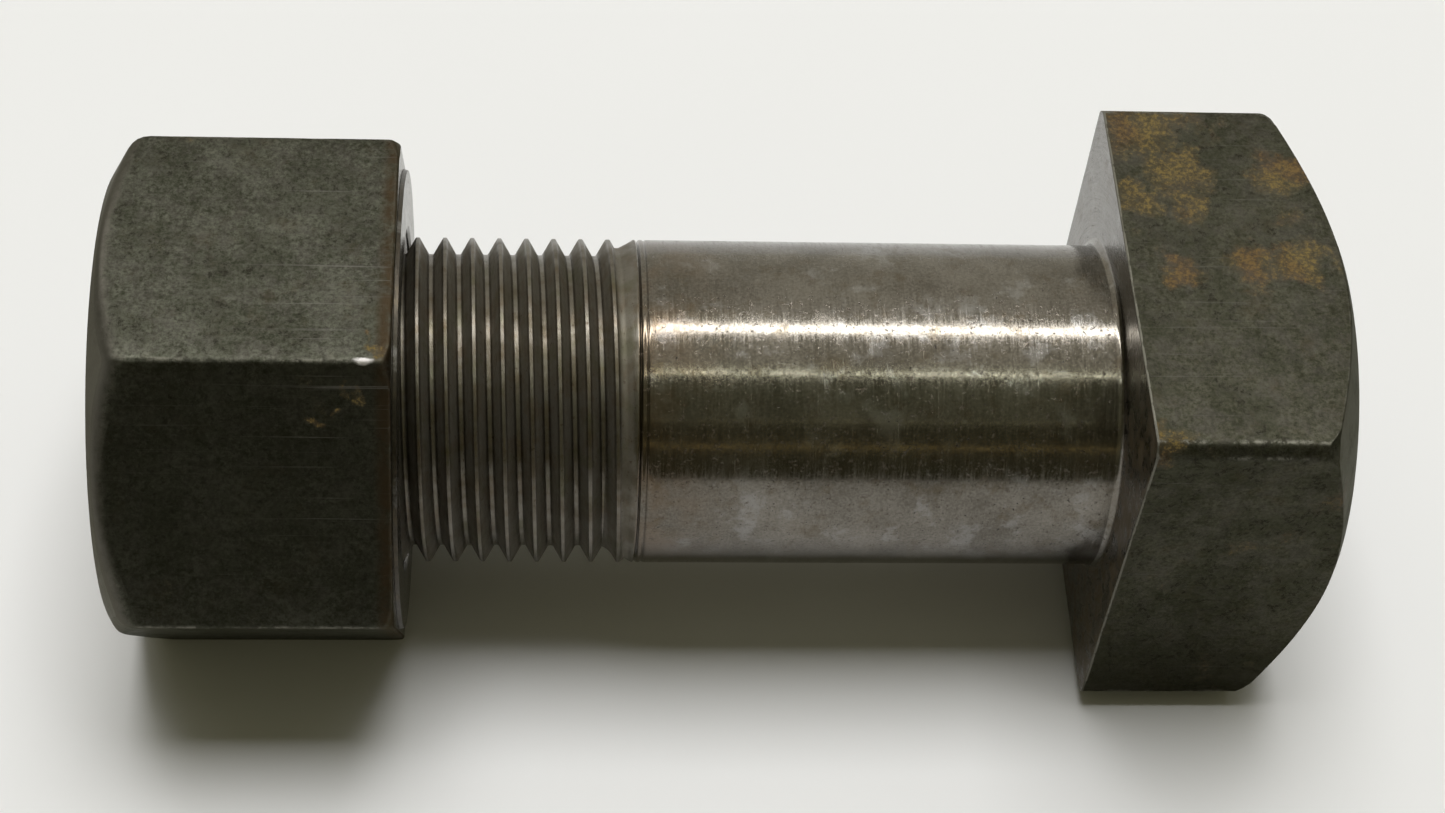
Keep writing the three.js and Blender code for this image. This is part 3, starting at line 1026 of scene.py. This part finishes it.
def scale_steel(name, dark, light, own_marks, blooms, stray_rust):
    """Dark rolled or forged surface: fine grain, pits, brown stains, rust and worn edges.

    own_marks adds what only this piece has, and stray_rust is how much rust lies elsewhere
    than in the blooms.
    """
    steel = Finish(name)
    mottle = steel.noise(0.9, 6.0, 0.8)
    grain = steel.noise(2.2, 3.0, 0.75)
    rough_patch = steel.patches(0.15, 5.0, 0.7, 0.44, 0.56)
    pits = steel.patches(1.0, 5.0, 0.8, 0.53, 0.61)
    pits = steel.times(pits, steel.between(rough_patch, 0.12, 1.0))
    colour = steel.layered(
        scale_colour(steel, dark, light, mottle, grain),
        [(rough_patch, 0.35, ROUGH_PATCH), (pits, 0.6, SCALE_PIT)],
    )
    colour = own_marks(steel, colour)
    rust, rust_colour = rust_cover(steel, mottle, blooms, stray_rust)
    colour = steel.blend(rust, colour, rust_colour)
    worn, scaly_edge = edge_marks(steel)
    colour = steel.blend(worn, colour, WORN_EDGE)
    colour = steel.blend(rubbed_spot(steel), colour, RUBBED_BRIGHT)
    metal = steel.maths("MULTIPLY_ADD", rust, -0.9, 0.92, clamp=True)
    roughness = steel.shared(
        [
            (steel.between(mottle, 0.28, 0.5), 1.0),
            (rust, 0.3),
            (rough_patch, 0.04),
            (scaly_edge, 0.25),
        ]
    )
    height = steel.shared([(mottle, 0.5), (grain, 0.6), (pits, -0.7), (rust, 0.5)])
    steel.relief(height, SCALE_RELIEF)
    steel.shader.inputs["Specular Tint"].default_value = SCALE_REFLECTION
    return steel.finish(colour, metal, roughness)


def floor_finish():
    floor = Finish("floor")
    colour = floor.blend(floor.noise(0.01, 2.0, 0.5), FLOOR_DARK, FLOOR_LIGHT)
    return floor.finish(colour, 0.0, 0.85)


# ---------------------------------------------------------------- studio


def make_floor():
    angles = [2 * math.pi * i / FLOOR_CORNERS for i in range(FLOOR_CORNERS)]
    points = [
        Vector((FLOOR_RADIUS * math.cos(angle), FLOOR_RADIUS * math.sin(angle), FLOOR_Z)) * MM
        for angle in angles
    ]
    mesh = bpy.data.meshes.new("floor")
    mesh.from_pydata(points, [], [list(range(FLOOR_CORNERS))])
    mesh.materials.append(floor_finish())
    floor = linked_object("floor", mesh)


def make_lamp(name, elevation, distance, length, width, brightness, colour):
    """A soft rectangle along X that faces the bolt. elevation goes from the front over the top."""
    light = bpy.data.lights.new(name, "AREA")
    light.shape = "RECTANGLE"
    light.size = length
    light.size_y = width
    light.energy = brightness * length * width * math.pi
    light.color = colour
    lamp = linked_object(name, light)
    angle = math.radians(elevation)
    away = Vector((0, -math.cos(angle), math.sin(angle)))
    side = Vector((1, 0, 0))
    lamp.matrix_world = Matrix(
        [(side[i], away.cross(side)[i], away[i], away[i] * distance) for i in range(3)]
        + [(0, 0, 0, 1)]
    )
    lamp.visible_camera = False
    return lamp


def make_lights():
    """Lamps that only the steel's reflections show, and soft ones that light what is dull."""
    for row in REFLECTED_LAMPS:
        make_lamp(*row).visible_diffuse = False
    for row in SOFT_LAMPS:
        make_lamp(*row).visible_glossy = False
    bpy.context.scene.world = make_world()
    bpy.context.scene.view_settings.view_transform = "Standard"


def make_world():
    """Dim and warm as the steel reflects it, and pale where the camera sees past the floor."""
    world = bpy.data.worlds.new("studio")
    world.use_nodes = True
    nodes = world.node_tree.nodes
    links = world.node_tree.links
    room = nodes["Background"]
    room.inputs["Color"].default_value = ROOM_COLOUR
    room.inputs["Strength"].default_value = ROOM_STRENGTH
    backdrop = nodes.new("ShaderNodeBackground")
    backdrop.inputs["Color"].default_value = (1, 1, 1, 1)
    backdrop.inputs["Strength"].default_value = BACKDROP_STRENGTH
    seen = nodes.new("ShaderNodeLightPath")
    mix = nodes.new("ShaderNodeMixShader")
    links.new(seen.outputs["Is Camera Ray"], mix.inputs["Fac"])
    links.new(room.outputs[0], mix.inputs[1])
    links.new(backdrop.outputs[0], mix.inputs[2])
    links.new(mix.outputs[0], nodes["World Output"].inputs["Surface"])
    return world


def make_camera():
    data = bpy.data.cameras.new("camera")
    data.lens = CAMERA_LENS
    data.sensor_width = 36
    data.clip_start = 10 * MM
    camera = linked_object("camera", data)
    camera.location = Vector(CAMERA_PLACE) * MM
    camera.rotation_euler = [math.radians(turn) for turn in CAMERA_TURN]
    bpy.context.scene.camera = camera


def main():
    shank = turned_steel("shank_steel", SHANK_DARK, SHANK_LIGHT, SHANK_ROUGHNESS)
    faced = turned_steel("faced_steel", FACED_DARK, FACED_LIGHT, FACED_ROUGHNESS)
    # Darker turned steel for the washer face's wall, a painted shade
    wall = turned_steel("ring_wall_painted_shade_steel", WALL_PAINTED_SHADE_DARK, WALL_PAINTED_SHADE_LIGHT, WALL_ROUGHNESS)
    thread = thread_steel()
    head_blooms = [(x, y, HEAD_HALF_WIDTH, radius) for x, y, radius in HEAD_BLOOMS]
    head_scale = scale_steel(
        "head_scale", HEAD_DARK, HEAD_LIGHT, head_marks, head_blooms, HEAD_STRAY_RUST
    )
    nut_scale = scale_steel(
        "nut_scale", NUT_DARK, NUT_LIGHT, nut_marks, NUT_BLOOMS, NUT_STRAY_RUST
    )
    bolt = make_bolt({"turned": shank, "thread": thread, "face": faced, "scale": head_scale})
    nut = make_nut({"scale": nut_scale, "face": faced, "thread": thread})
    ring = make_ring({"face": faced, "wall": wall})
    for piece, body, node, slot in (
        (bolt, "bolt", "bolt", "bolt_steel"),
        (nut, "nut", "hex_nut", "nut_steel"),
        (ring, "nut_face", "nut_washer_face", "turned_face_steel"),
    ):
        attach(piece, body)
        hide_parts(node)
    make_floor()
    make_lights()
    make_camera()


main()
